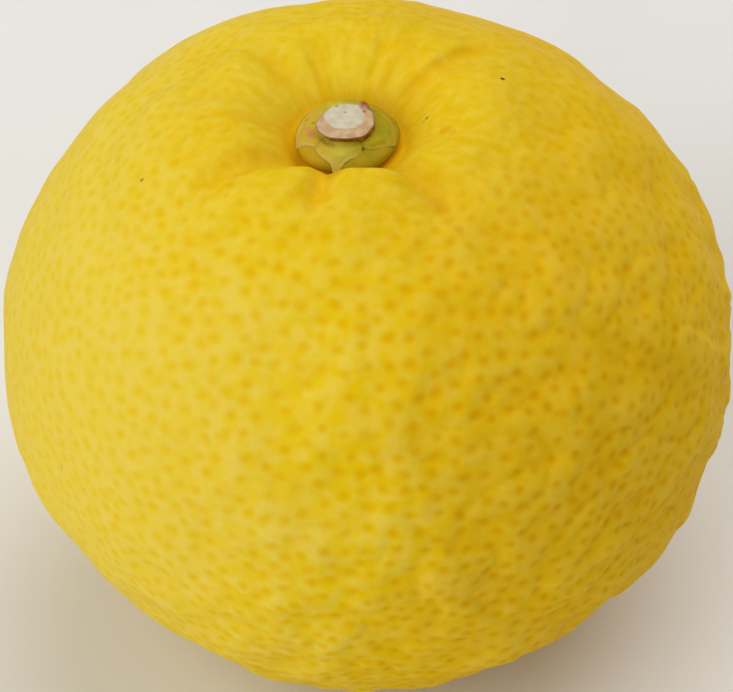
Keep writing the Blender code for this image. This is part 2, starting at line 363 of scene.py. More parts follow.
def scatterPits(points, rng):
    # Drawn in a seeded random order, and kept where no kept one is too near
    size = pits["apart"][1]
    kept, spans, cells = [], [], {}
    order = list(range(len(points)))
    rng.shuffle(order)
    places = points.tolist()
    sparse = zoned(pits["sparse"], points).tolist()
    for index in order:
        place = [value + rng.uniform(-1, 1) * pits["jitter"] for value in places[index]]
        apart = rng.uniform(*pits["apart"]) * sparse[index]
        i, j, k = (math.floor(value / size) for value in place)
        near = [
            other
            for a in (i - 1, i, i + 1) for b in (j - 1, j, j + 1) for c in (k - 1, k, k + 1)
            for other in cells.get((a, b, c), ())
        ]
        share = pits["apartShare"]
        if all(math.dist(place, kept[other]) > max(apart, spans[other] * share) for other in near):
            cells.setdefault((i, j, k), []).append(len(kept))
            kept.append(place)
            spans.append(apart)
    return np.array(kept)


def roughSide(directions):  # 1 towards the middle of the rough side, -1 away from it
    return directions @ Vector(texture["creaseMiddle"]).normalized()


def addRelief(points, directions, furrow):
    # Pebbles all over, creases low on the right, and ribs round the stem
    away, azimuth = fromStem(points)
    upper = points[:, 2] > 0
    rough = atLeast(texture["least"], ease(*texture["roughFrom"], roughSide(directions)))
    around = np.where(upper, inZone(*texture["ribZone"], away), 0)
    reach = np.where(upper, inZone(*texture["ribZone"][:2], *texture["stemReach"], away), 0)
    relief = np.zeros(len(points))
    for (length, tall), share in zip((texture["pebble"], texture["swell"]), texture["stemShare"]):
        relief += tall * np.maximum(rough, share * reach) * noiseAt(points, length)
    length, tall = texture["crease"]
    stretched = points / (texture["creaseLength"], texture["creaseLength"], 1)
    line = (1 - np.minimum(1, texture["creaseThin"] * np.abs(noiseAt(stretched, length)))) ** 2
    relief -= tall * rough**2 * line

    # Ribs and wrinkles run out from the stem: their noise hardly changes that way
    inFront, low, high = texture["ribSide"]
    zone = around * atLeast(inFront, ease(low, high, np.sin(azimuth)))
    outward = away / texture["ribLength"]
    for count, tall in texture["ribs"]:
        relief += tall * zone * noiseAt(ringPlaces(azimuth, count, outward), 1.0)
    count, deep, thin = texture["wrinkle"]
    outward = texture["wrinkleStart"] + away / texture["wrinkleLength"]
    noises = noiseAt(ringPlaces(azimuth, count, outward), 1.0)
    line = (1 - np.minimum(1, thin * np.abs(noises))) ** 2
    behind = atLeast(inFront, ease(*texture["wrinkleSide"], np.sin(azimuth)))
    length, gap = texture["wrinkleGaps"]
    relief -= deep * reach * line * behind * ease(-gap, gap, noiseAt(points, length))

    # The longer lines are amber, partly painted shade, as the furrows are
    length, sway = texture["lineSway"]
    sway = sway * noiseAt(points, length)
    start, end = texture["lineEnds"]
    for heading, *sizes in texture["lines"]:
        low, high, halfWidth, deep = metres(sizes)
        turn = azimuth - math.radians(heading)
        aside = away * np.sin(turn) / halfWidth + sway
        along = inZone(low, low + start, high - end, high, away)
        deep = np.where(upper & (np.cos(turn) > 0), deep * np.exp(-(aside**2)) * along, 0)
        relief -= deep
        furrow += texture["lineAmberAndShade"] * deep
    return relief


def drawPits(points):
    # Each pit's centre, its two directions along the skin and their radii, its depth and strength
    rng = random.Random(pits["seed"])
    centres = scatterPits(points, rng)
    count = len(centres)

    def draws(low, high):  # a random value for each pit
        return np.array([rng.uniform(low, high) for _ in range(count)])

    outward = centres / np.linalg.norm(centres, axis=1)[:, None]
    away = fromStem(centres)[0]
    upper = centres[:, 2] > 0
    fade = np.where(upper, ease(*pits["stemFade"], away), 1)
    fade *= np.where(upper, 1, ease(*pits["footFade"], np.hypot(centres[:, 0], centres[:, 1])))
    nearStem = np.where(upper, 1 - ease(*pits["stemPull"], away), 0)
    stretch = 1 + draws(*pits["sideStretch"]) + (pits["stemStretch"] - 1) * nearStem
    most = pits["sideTurn"]
    turn = (math.pi / 2 + draws(-most, most)) * (1 - nearStem)
    radius = draws(*pits["radius"]) * atLeast(pits["fadedRadius"], fade)
    radius *= zoned(pits["large"], centres)
    depth = draws(*pits["depth"]) * atLeast(pits["fadedDepth"], fade)
    least, low, high = pits["smoothDepth"]
    depth *= atLeast(least, ease(low, high, roughSide(outward)))
    faint = zoned(pits["faint"], centres)
    depth *= faint
    strength = draws(*pits["strength"]) * fade * faint

    # The long way of a pit points to the stem near it, and mostly round the fruit elsewhere
    along = centres - (*fruit["stem"], fruit["topRise"])
    along -= outward * np.sum(along * outward, axis=1)[:, None]
    along /= np.linalg.norm(along, axis=1)[:, None]
    aside = np.cross(outward, along)
    first = along * np.cos(turn)[:, None] + aside * np.sin(turn)[:, None]
    second = aside * np.cos(turn)[:, None] - along * np.sin(turn)[:, None]
    tree = kdtree.KDTree(count)
    for index, centre in enumerate(centres.tolist()):
        tree.insert(centre, index)
    tree.balance()
    toNext = np.array([tree.find_n(centre, 2)[1][2] for centre in centres.tolist()])
    radius = np.minimum(radius, toNext / pits["crowded"])
    print("pits:", count)
    return tree, centres, first, second, radius * stretch, radius, depth, strength


def makeFruit():
    piece = newPiece("fruitSkin", bpy.ops.mesh.primitive_cube_add, size=2)
    bpy.ops.object.mode_set(mode="EDIT")
    for cells in fruit["cells"]:
        bpy.ops.mesh.select_all(action="SELECT")
        bpy.ops.mesh.subdivide(number_cuts=cells - 1)
    bpy.ops.object.mode_set(mode="OBJECT")
    mesh = piece.data
    directions = bodyDirections(readPoints(mesh))
    points, furrow = skinPoints(directions)
    upper = points[:, 2] > 0
    relief = addRelief(points, directions, furrow)

    # Painted shade makes the hollows more amber and painted highlight makes the swellings paler, so the
    # rind's material is given this relief
    giveAttribute(mesh, "skinRise", "POINT", relief / texture["fullRise"])
    giveAttribute(mesh, "skinFurrow", "POINT", furrow / texture["fullFurrow"])
    tree, centres, first, second, longRadius, radius, depth, strength = drawPits(points)
    names = pits["names"]

    def nearestPits(places):  # one row of pits for each place
        rows = (tree.find_n(place, len(names)) for place in places.tolist())
        return np.array([[found[1] for found in row] for row in rows])

    def offsets(places, nearest):  # from the pit's centre, in its radii
        apart = places - centres[nearest]
        u = np.sum(apart * first[nearest], axis=1) / longRadius[nearest]
        v = np.sum(apart * second[nearest], axis=1) / radius[nearest]
        return u, v

    for nearest in nearestPits(points).T:  # each pit is a dent
        u, v = offsets(points, nearest)
        relief -= depth[nearest] * (1 - ease(0, pits["dent"], np.hypot(u, v)))

    # The same offsets on the faces' corners, with the dot's strength, for the rind's colour and finish
    corner = np.zeros(len(mesh.loops), int)
    mesh.loops.foreach_get("vertex_index", corner)
    middles = points[corner.reshape(-1, 4)].mean(axis=1)
    for name, nearest in zip(names, nearestPits(middles).T):
        nearest = np.repeat(nearest, 4)
        u, v = offsets(points[corner], nearest)
        giveAttribute(mesh, name, "CORNER", np.column_stack((u, v, strength[nearest])))

    # The relief, the dimple's front edge, the flat spot that it rests on and the scar of the style
    points += directions * relief[:, None]
    x, y = fruit["stem"]
    for heading, *sizes in texture["lips"]:
        distance, spread, drop = metres(sizes)
        a = math.radians(heading)
        lipX, lipY = x + distance * math.cos(a), y + distance * math.sin(a)
        aside = np.hypot(points[:, 0] - lipX, points[:, 1] - lipY)
        points[:, 2] -= np.where(upper, drop * np.exp(-((aside / spread) ** 2)), 0)
    points[:, 2] += fruit["restDrop"]
    scarRadius, scarDepth = fruit["scar"]
    flat = scarDepth * (1 - ease(0, scarRadius, np.hypot(points[:, 0], points[:, 1])))
    points[:, 2] = np.where(points[:, 2] < 0, flat, points[:, 2])
    writePoints(mesh, points)
    mesh.shade_smooth()
    return piece


# Citrus rind, grown: waxy and satin, with amber oil glands that show through at the pits
rind = {
    "ground": ((0.0, "e8cb42"), (0.55, "eac50e"), (1.0, "e5b916")),  # lemon on its lit left, partly painted sheen, to golden on its shaded right, partly painted shade
    "paleHighlight": ((0.0, "ebd47e"), (0.55, "edd664"), (1.0, "e7c854")),  # painted highlight on the swellings between the pits
    "paleHighlightShare": ((0.0, 0.20), (0.35, 0.42), (0.65, 0.38), (1.0, 0.24)),
    "hollowShadeShare": 0.2,  # of the glands' amber tint, as painted shade in the hollows
    "hollows": (-0.1, -1.0),  # the relief where it starts and is full
    "noises": {  # length and detail
        "cloud": (9 * mm, 2.0),
        "blot": (1.6 * mm, 1.0),
        "mottle": (1.5 * mm, 2.0),
        "grain": (0.7 * mm, 3.0),
    },
    "cloudSway": 7 * mm,  # clouds take the tone that the rind has so far to their side
    "blots": (0.29, 0.75),
    "blotRise": 0.12,  # share of the relief in them
    "gland": ((0.0, "fef6a2"), (0.55, "fbe930"), (1.0, "f7e130")),  # these multiply what lies under them
    "dimpleShade": "f5f1a8",  # painted shade: this multiplies and darkens the ground round the dimple
    "dimpleShadeZone": (28 * mm, 9 * mm),
    "stemGold": "e6bf0c",
    "stemZone": (14 * mm, 6 * mm),
    "streakPale": "ecd034",
    "streaks": (0.36, 0.68),
    "streakShare": (0.35, 0.7),  # at the sides of the stem and behind it
    "fleckHighlight": "efd650",  # painted highlights: short pale flecks drawn out from the stem, which the bump raises too
    "flecks": (0.34, 0.74),
    "fleckShare": 0.3,
    "fleckZone": (26 * mm, 12 * mm),
    "drawnOut": {"streak": (9.0, 6 * mm), "fleck": (12.0, 1.2 * mm)},  # how many and how long
    # painted shade: amber in the crevice round the disc
    "creviceShadeAmber": "eaae00",
    "creviceZone": (7.4 * mm, 4.7 * mm),
    "creviceShare": (0.88, 0.6),  # at the sides of the stem and behind it
    "discShadeAmber": "e29e08",  # painted amber shade on the rind right at the disc
    "discZone": (5.2 * mm, 4.7 * mm),
    "discShare": 0.6,
    "behind": (0.0, 0.9),  # from the sides to behind
    "ripeningAndShade": (-30 * mm, 20 * mm),  # from the lit left to the shaded right: partly ripeness, partly painted sheen and shade
    "patchCore": 0.3,  # share of a patch's radius where it is full
    "patches": (  # place and radius in mm, and how many mm further left or right the rind has the same tone
        ((14, 2, 55), 20, -9),
        ((22, -25.5, 28), 14, -8),
        ((-3, -33, 37), 12, -4),
        ((-13, -9, 56), 15, 7),
    ),
    "roughness": (0.45, 0.55),
    "bumps": {"grain": 0.02, "mottle": 0.08, "pit": -0.018, "fleck": 0.05},  # mm
    # amber in the furrows and lines: partly the rind's own colour, partly painted shade
    "furrowAmberAndShade": "e0a406",
    "furrowShare": 0.35,
    "speckSquash": (1, 1, 0.35),  # so they show whatever the relief's height at their places
    "speckFade": (1.5, 0.4),  # shares of a speck's radius where it starts and is full
    "specksAndNotchShade": (  # place in mm, radius in mm, colour and strength
        ((12.65, 4.45, 59.04), 0.23, "4a3008", 0.95),
        ((-20.64, -5.49, 55.17), 0.19, "6a5010", 0.65),
        ((5.61, 1.30, 57.02), 0.17, "7a5408", 0.6),
        ((5.28, 1.12, 56.90), 0.12, "7a5408", 0.5),
        ((7.24, -1.48, 57.91), 0.55, "d4860c", 0.35),
        ((7.90, -2.30, 58.10), 0.42, "d4860c", 0.3),
        # painted amber shade in the notch between the lips under the front sepal
        ((-2.9, -8.9, 59.0), 0.85, "c88404", 0.5),
        ((6.5, -11.3, 57.95), 0.8, "d09206", 0.4),
        ((6.9, -12.4, 57.85), 0.8, "d09206", 0.4),
        ((-28.41, -19.23, 31.80), 0.20, "c8a83c", 0.45),
    ),
}


def rindMaterial():
    material, tree, shader = newMaterial("citrusRind")
    place = addNode(tree, "TexCoord", output="Object")
    across, height = addNode(tree, "SeparateXYZ", (place,), output=(0, 2))
    noises = {}
    for name, given in rind["noises"].items():
        noises[name] = addNode(tree, "TexNoise", noiseInputs(place, *given))

    # How much gland there is at each place: soft dots, which may run into each other
    bare = 1.0
    for name in pits["names"]:
        given = addNode(tree, "Attribute", settings={"attribute_name": name}, output="Vector")
        strength = addNode(tree, "SeparateXYZ", (given,), output=2)
        out = flattened(tree, given)[1]
        share = stepTimes(tree, (out, pits["dot"], 0.0), strength)
        left = addNode(tree, "Math", (1.0, share), difference)
        bare = addNode(tree, "Math", (bare, left), product)
    dot = addNode(tree, "Math", (1.0, bare), difference)

    # Lemon yellow on the lit left to golden on the shaded right, partly painted sheen and shade, with clouds
    # 9 mm across and paler blots of 2 mm that are painted highlights
    sway = rind["cloudSway"]
    cloud = addNode(tree, "Math", (noises["cloud"], 2 * sway, -sway), productPlus)
    across = addNode(tree, "Math", (across, cloud), total)
    for spot, radius, shift in rind["patches"]:
        apart = addNode(tree, "VectorMath", (place, metres(spot)), distanceOf, output="Value")
        inputs = (apart, radius * mm, rind["patchCore"] * radius * mm, 0.0, shift * mm)
        shifted = addNode(tree, "MapRange", inputs, smoothStep)
        across = addNode(tree, "Math", (across, shifted), total)
    ripeAndShaded = addNode(tree, "MapRange", (across, *rind["ripeningAndShade"]), smoothStep)
    tones = {}
    for name in ("ground", "paleHighlight", "paleHighlightShare", "gland"):
        tones[name] = addNode(tree, "ValToRGB", (ripeAndShaded,), stops=rind[name])
    risen = addNode(tree, "Attribute", settings={"attribute_name": "skinRise"}, output="Fac")
    # Painted highlight: paler where the rind rises and its blot noise is high
    blot = addNode(tree, "Math", (risen, rind["blotRise"], noises["blot"]), productPlus)
    paleHighlight = stepTimes(tree, (blot, *rind["blots"]), tones["paleHighlightShare"])
    # Painted shade: the hollows take some of the glands' amber tint
    hollowShade = stepTimes(tree, (risen, *rind["hollows"], 0.0, rind["hollowShadeShare"]), ripeAndShaded)

    # How far it is from the stem, seen from above, and in which direction
    x, y = fruit["stem"]
    aside = addNode(tree, "VectorMath", (place, (x, y, 0)), difference)
    plan, away = flattened(tree, aside)
    heading = addNode(tree, "VectorMath", (plan,), {"operation": "NORMALIZE"})
    backwards = addNode(tree, "SeparateXYZ", (heading,), output=1)
    onTop = addNode(tree, "Math", (height, fruit["restDrop"]), {"operation": "GREATER_THAN"})
    zones = {}
    for name in ("dimpleShadeZone", "stemZone", "fleckZone", "creviceZone", "discZone"):
        zones[name] = stepTimes(tree, (away, *rind[name]), onTop)
    drawn = {}
    for name, (count, length) in rind["drawnOut"].items():
        ring = addNode(tree, "VectorMath", {0: heading, "Scale": count}, {"operation": "SCALE"})
        outward = addNode(tree, "Math", (away, length), {"operation": "DIVIDE"})
        lifted = addNode(tree, "CombineXYZ", {2: outward})
        flow = addNode(tree, "VectorMath", (ring, lifted), total)
        drawn[name] = addNode(tree, "TexNoise", {"Vector": flow, "Scale": 1.0, "Detail": 2.0})

    # Painted shade that deepens the yellow round the dimple, golden close to the stem with pale streaks that
    # run out from it, pale flecks that are painted highlights, amber painted shade in the crevice and at the
    # disc, amber in the furrows that is partly painted shade, and amber in the glands
    golden = addLayers(tree, rind["stemGold"], [(drawn["streak"], *rind["streaks"], 1.0, rind["streakPale"])])
    streaky = stepTimes(tree, (backwards, *rind["behind"], *rind["streakShare"]), zones["stemZone"])
    fleck = stepTimes(tree, (drawn["fleck"], *rind["flecks"], 0.0, rind["fleckShare"]), zones["fleckZone"])
    crevice = stepTimes(tree, (backwards, *rind["behind"], *rind["creviceShare"]), zones["creviceZone"])
    nearDisc = addNode(tree, "Math", (zones["discZone"], rind["discShare"]), product)
    furrow = addNode(tree, "Attribute", settings={"attribute_name": "skinFurrow"}, output="Fac")
    furrow = addNode(tree, "MapRange", (furrow, 0.0, 1.0, 0.0, rind["furrowShare"]), smoothStep)
    colour = tones["ground"]
    for share, tone, settings in (
        (paleHighlight, tones["paleHighlight"], colourMix),
        (hollowShade, tones["gland"], colourTint),
        (zones["dimpleShadeZone"], rind["dimpleShade"], colourTint),
        (streaky, golden, colourMix),
        (fleck, rind["fleckHighlight"], colourMix),
        (crevice, rind["creviceShadeAmber"], colourMix),
        (nearDisc, rind["discShadeAmber"], colourMix),
        (furrow, rind["furrowAmberAndShade"], colourMix),
        (dot, tones["gland"], colourTint),
    ):
        colour = addNode(tree, "Mix", {0: share, 6: colour, 7: tone}, settings, output=2)
    fade, squash = rind["speckFade"], rind["speckSquash"]
    colour = addMarks(tree, colour, place, rind["specksAndNotchShade"], fade, squash=squash)

    # Bump in millimetres: a grain of 0.7 mm, the mottle, the pits' floors and the flecks
    drawnFleck = addNode(tree, "Math", (drawn["fleck"], zones["fleckZone"]), product)
    rise = 0.0
    for name, given in (
        ("grain", noises["grain"]), ("mottle", noises["mottle"]), ("pit", dot), ("fleck", drawnFleck)
    ):
        rise = addNode(tree, "Math", (given, rind["bumps"][name], rise), productPlus)
    roughness = addNode(tree, "MapRange", (noises["mottle"], 0.3, 0.7, *rind["roughness"]), smoothStep)
    setInputs(tree, shader, {
        "Base Color": colour,
        "Normal": addNode(tree, "Bump", {"Distance": mm, "Height": rise}),
        "Roughness": roughness,
        "IOR": 1.45,
        "Specular IOR Level": 0.018,  # a wax bloom takes the gloss away
    })
    return material


# The floral disc, a green button under the calyx
disc = {
    "radius": 4.8 * mm,
    "footRadius": 4.3 * mm,
    "belly": 0.5 * mm,
    "forward": (0.45 * mm, 245, 1.5),  # it reaches further out in front: how far, azimuth and narrowness
    "thickness": 1.4 * mm,
    "topRadius": 2.9 * mm,
    "gap": 0.3 * mm,
    "flatShare": 0.35,  # of each half's rings, for the flat top or foot
    "lobes": (0.07 * mm, 5, 0.8),  # height, how many, and the first one's azimuth
    "lump": (1.3 * mm, 0.10 * mm),
}
discFoot = fruit["restDrop"] + fruit["floorRise"] + disc["gap"]
overDisc = discFoot + disc["thickness"] + disc["gap"]


def aroundStem(away, azimuth, height):  # points from their distance and azimuth from the stem's axis
    x, y = fruit["stem"]
    return np.column_stack((x + away * np.cos(azimuth), y + away * np.sin(azimuth), height))


def discReach(azimuth):  # how far it reaches out there, to its radius elsewhere
    reach, heading, narrow = disc["forward"]
    return 1 + reach / disc["radius"] * np.maximum(0, np.cos(azimuth - math.radians(heading))) ** narrow


def discHeight(away):  # its upper side over its foot
    share = easeIn(disc["topRadius"], disc["radius"], away)
    return disc["belly"] + (disc["thickness"] - disc["belly"]) * np.sqrt(1 - share**2)


def makeDisc():
    addSphere = bpy.ops.mesh.primitive_uv_sphere_add
    piece = newPiece("floralDisc", addSphere, segments=160, ring_count=80, radius=1)
    points = readPoints(piece.data)
    azimuth = np.arctan2(points[:, 1], points[:, 0])
    rise = np.arcsin(np.clip(points[:, 2], -1, 1)) / (math.pi / 2)  # -1 at the foot, 1 on top
    curved = easeIn(0, 1 - disc["flatShare"], np.abs(rise)) * math.pi / 2
    flat = 1 - easeIn(1 - disc["flatShare"], 1, np.abs(rise))
    spread = disc["radius"] - disc["topRadius"]
    above = (disc["topRadius"] + spread * np.cos(curved)) * flat
    aboveHeight = disc["belly"] + (disc["thickness"] - disc["belly"]) * np.sin(curved)
    below = (disc["footRadius"] + (disc["radius"] - disc["footRadius"]) * np.cos(curved)) * flat
    belowHeight = disc["belly"] * (1 - np.sin(curved))
    away = np.where(rise > 0, above, below)
    height = np.where(rise > 0, aboveHeight, belowHeight)
    tall, count, first = disc["lobes"]
    away = away + tall * np.cos(curved) * np.sin(count * azimuth + first) * easeIn(0, 1 * mm, away)
    away *= discReach(azimuth)
    placed = aroundStem(away, azimuth, discFoot + height)
    length, tall = disc["lump"]
    placed[:, 2] += tall * np.cos(curved) * noiseAt(placed, length)
    writePoints(piece.data, placed)
    piece.data.shade_smooth()
    return piece


# Living plant tissue, smooth and satin: olive with greener patches, and tan on its left
button = {
    "patch": (2.0 * mm, 3.0),  # length and detail
    "patches": ((0.34, "988a10"), (0.5, "ac8e0e"), (0.68, "b49818")),
    "foot": "a08c0c",
    "footRise": (1.1 * mm, 0.3 * mm),  # over its foot
    "tan": "c8a21c",
    "tanFrom": (-3.2 * mm, -5.2 * mm),
    "tanShare": 0.7,
    "pore": "806008",
    "poreApart": 0.8 * mm,
    "poreSize": (0.16, 0.06),  # of the way between them
    "poreShare": 0.45,
    "grain": (0.5 * mm, 3.0, 0.05),  # length, detail and bump in mm
}


def discMaterial():
    material, tree, shader = newMaterial("greenButton")
    place = addNode(tree, "TexCoord", output="Object")
    across, height = addNode(tree, "SeparateXYZ", (place,), output=(0, 2))
    patch = addNode(tree, "TexNoise", noiseInputs(place, *button["patch"]))
    pores = addNode(tree, "TexVoronoi", {"Vector": place, "Scale": 1 / button["poreApart"]})
    top, low = button["footRise"]
    colour = addLayers(tree, addNode(tree, "ValToRGB", (patch,), stops=button["patches"]), (
        (height, discFoot + top, discFoot + low, 1.0, button["foot"]),
        (across, *button["tanFrom"], button["tanShare"], button["tan"]),
        (pores, *button["poreSize"], button["poreShare"], button["pore"]),
    ))
    finish = {"Base Color": colour, "Roughness": 0.5, "Specular IOR Level": 0.07}
    finishSurface(tree, shader, place, button["grain"], finish)
    return material


# The calyx: five sepals grown together round the stem, pressed flat on the disc
calyx = {
    "outline": (  # azimuth and radius in mm: notches, sides and tips, from the front one round
        (222, 4.02), (231, 4.4), (238, 4.62), (247, 4.8), (252, 5.05), (256, 5.42), (258.5, 5.5), (261, 5.22),
        (264, 4.83), (271, 4.4), (283, 3.95), (297, 3.33), (307, 3.8), (322, 4.15), (337, 4.75), (346, 4.5),
        (5, 4.25),
        (28, 3.95), (44, 3.8), (60, 3.95), (76, 4.3), (97, 4.45), (111, 4.5), (120, 4.45), (150, 4.4),
        (170, 4.6), (190, 4.9), (201, 5.15), (206, 4.9), (213, 4.3),
    ),
    "waver": (2.0, 0.12),  # the outline's: degrees, and length in radii
    "creases": (222, 297, 40),  # azimuths between the sepals
    "crease": (2.6, 0.07 * mm),  # half width in degrees, and depth
    "creaseFrom": (0.2, 0.5),  # share of the way out
    "hole": 2.2 * mm,
    "thickness": 0.42 * mm,
    "thinEdge": (0.66, 0.99, 0.84),  # from here outwards it thins by this share
    "collar": (0.32 * mm, 0.5),  # it rises this much round the stem, over this share of its width
    "clear": 0.01 * mm,  # over the disc
    "droop": 0.55,  # beyond the disc's edge
    "rim": 0.025 * mm,  # the raised edge
    "rimZone": (0.74, 0.9, 0.94, 1.0),  # it rises and falls again
    "upperSide": (0.3, 0.8),  # share of the thickness, for all that lies on it
    "fibre": (15.0, 0.035 * mm),  # how many, and how tall
    "fibreLength": 2 * mm,
    "lump": (0.9 * mm, 0.08 * mm),
}


def makeCalyx():
    cells = {"major_segments": 360, "minor_segments": 56}
    addTorus = bpy.ops.mesh.primitive_torus_add
    piece = newPiece("calyxStar", addTorus, major_radius=1, minor_radius=0.5, **cells)
    mesh = piece.data
    points = readPoints(mesh)
    azimuth = np.arctan2(points[:, 1], points[:, 0])
    outward = np.hypot(points[:, 0], points[:, 1]) - 0.5
    upward = points[:, 2] + 0.5
    angles, reaches = np.array(sorted(calyx["outline"])).T
    sway, length = calyx["waver"]
    wavy = np.degrees(azimuth) + sway * noiseAt(points, length)
    reach = np.interp(wavy % 360, angles, reaches * mm, period=360)
    away = calyx["hole"] + outward * (reach - calyx["hole"])
    low, high, thinned = calyx["thinEdge"]
    thick = calyx["thickness"] * (1 - thinned * ease(low, high, outward))
    tall, low = calyx["collar"]
    onDisc = away / discReach(azimuth)
    height = discHeight(onDisc) + calyx["clear"] + thick * upward + tall * (1 - ease(0, low, outward))
    height -= calyx["droop"] * np.maximum(0, onDisc - disc["radius"])
    placed = aroundStem(away, azimuth, discFoot + height)

    # Creases between the sepals, a raised edge, fibres along them and soft lumps
    spread, deep = calyx["crease"]
    crease = np.zeros(len(points))
    for heading in calyx["creases"]:
        crease = np.maximum(crease, np.exp(-((degreesFrom(heading, azimuth) / spread) ** 2)))
    edge = inZone(*calyx["rimZone"], outward)
    count, tall = calyx["fibre"]
    fibres = noiseAt(ringPlaces(azimuth, count, away / calyx["fibreLength"]), 1.0)
    crossed = crease * ease(*calyx["creaseFrom"], outward)
    rise = calyx["rim"] * edge - deep * crossed + tall * fibres
    length, tall = calyx["lump"]
    rise += tall * noiseAt(placed, length)
    placed[:, 2] += rise * ease(*calyx["upperSide"], upward)
    writePoints(mesh, placed)
    giveAttribute(mesh, "sepalPlace", "POINT", np.column_stack((outward, crease, upward)))
    mesh.shade_smooth()
    return piece


# Drying sepals: yellow-green in the middle, cream and papery at the edges
sepal = {
    "sides": ((0.0, "c8a62c"), (0.45, "cabb40"), (1.0, "ac980e")),  # tan on the left to olive on the right
    "turn": (-5.2 * mm, 0.8 * mm),
    "patch": (1.4 * mm, 4.0),  # length and detail
    "fresh": "b0a818",  # greener patches
    "freshFrom": (0.5, 0.68),
    "freshShare": 0.7,
    "cream": "d2ba62",
    "edgeFrom": (0.95, 1.28),  # share of the way out, with half the patches' noise added
    "edgeShare": 0.8,
    "edgePaler": (1.0, 0.35),  # times this on the left and on the right
    "crease": "8a6a10",
    "creaseShare": 0.3,
    "grain": (0.35 * mm, 4.0, 0.06),  # length, detail and bump in mm
    "markFade": (1.7, 0.9),  # shares of a mark's radius where it starts and is full
    "marks": (  # place in mm, radius in mm, colour and strength
        ((-5.15, -1.25, 57.26), 0.55, "c87c54", 0.65),
        ((-5.55, -0.55, 57.2), 0.40, "cc8c54", 0.5),
        ((-5.61, 0.94, 57.2), 0.20, "5c4010", 0.55),
        ((-4.9, 0.2, 57.3), 0.22, "8a6420", 0.5),
        ((-0.35, -3.1, 56.9), 0.26, "5a3c08", 0.8),
        ((-3.4, 4.1, 56.7), 0.30, "6e4a10", 0.6),
        ((1.5, -0.85, 57.38), 0.85, "96900a", 0.7),
        ((-0.05, 3.1, 57.3), 0.50, "a86a34", 0.6),
        ((-1.7, 4.2, 57.0), 1.4, "a8841c", 0.6),
    ),
}


def calyxMaterial():
    material, tree, shader = newMaterial("driedSepal")
    place = addNode(tree, "TexCoord", output="Object")
    across = addNode(tree, "SeparateXYZ", (place,))
    given = addNode(tree, "Attribute", settings={"attribute_name": "sepalPlace"}, output="Vector")
    outward, crease = addNode(tree, "SeparateXYZ", (given,), output=(0, 1))
    patch = addNode(tree, "TexNoise", noiseInputs(place, *sepal["patch"]))
    turned = addNode(tree, "MapRange", (across, *sepal["turn"]), smoothStep)
    colour = addNode(tree, "ValToRGB", (turned,), stops=sepal["sides"])
    colour = addLayers(tree, colour, [(patch, *sepal["freshFrom"], sepal["freshShare"], sepal["fresh"])])
    wavering = addNode(tree, "Math", (patch, 0.5, outward), productPlus)
    paler = addNode(tree, "MapRange", (turned, 0.0, 1.0, *sepal["edgePaler"]))
    edge = stepTimes(tree, (wavering, *sepal["edgeFrom"], 0.0, sepal["edgeShare"]), paler)
    crease = addNode(tree, "Math", (crease, sepal["creaseShare"]), product)
    for share, tone in ((edge, sepal["cream"]), (crease, sepal["crease"])):
        colour = addNode(tree, "Mix", {0: share, 6: colour, 7: tone}, colourMix, output=2)
    colour = addMarks(tree, colour, place, sepal["marks"], sepal["markFade"], uneven=patch)
    finish = {"Base Color": colour, "Roughness": 0.6, "Specular IOR Level": 0.08}
    finishSurface(tree, shader, place, sepal["grain"], finish)
    return material


# The stub of the cut stem: its face leans a little forward and to the left over its foot
stub = {
    "face": (-1.98 * mm, -0.50 * mm),
    "foot": (-1.60 * mm, -0.35 * mm),
    "footShare": 0.86,
    "outline": (  # azimuth and radius in mm
        (190, 2.75), (210, 2.85), (228, 2.95), (256, 2.55), (285, 2.5), (301, 2.75), (328, 2.72), (350, 2.72),
        (12, 2.75), (35, 2.8), (52, 2.75), (78, 2.45), (106, 2.36), (131, 2.27), (162, 2.42),
    ),
    "turns": (-12, -8, -4, 0, 4, 8, 12),  # the mean over these rounds the outline's corners
    "rings": (0.035, 0.08, 0.14, 0.2, 0.27, 0.35, 0.43, 0.52, 0.62, 0.72, 0.82, 0.91),  # inwards
    "faceRise": 1.05 * mm,
    "roundedBy": 0.10 * mm,
    "roundedFrom": (0.93, 1.0),  # share of the way out
    "wood": (-2.03 * mm, 0.10 * mm, 1.85 * mm),  # its middle and radius
    "woodEdge": (-0.15 * mm, 0.1 * mm),  # from its radius
    "woodRise": 0.10 * mm,
    "flap": (49, 13, 0.65 * mm),  # a torn strip of bark stands up here: azimuth, half width, height
    "flapOut": (0.86, 0.98),  # shares of the way out and up, from nothing to its full height
    "flapUp": (0.6, 1.0),
    "lump": (0.7 * mm, 0.10 * mm),
    "lumpUp": (0.0, 0.4),  # share of the way up
}


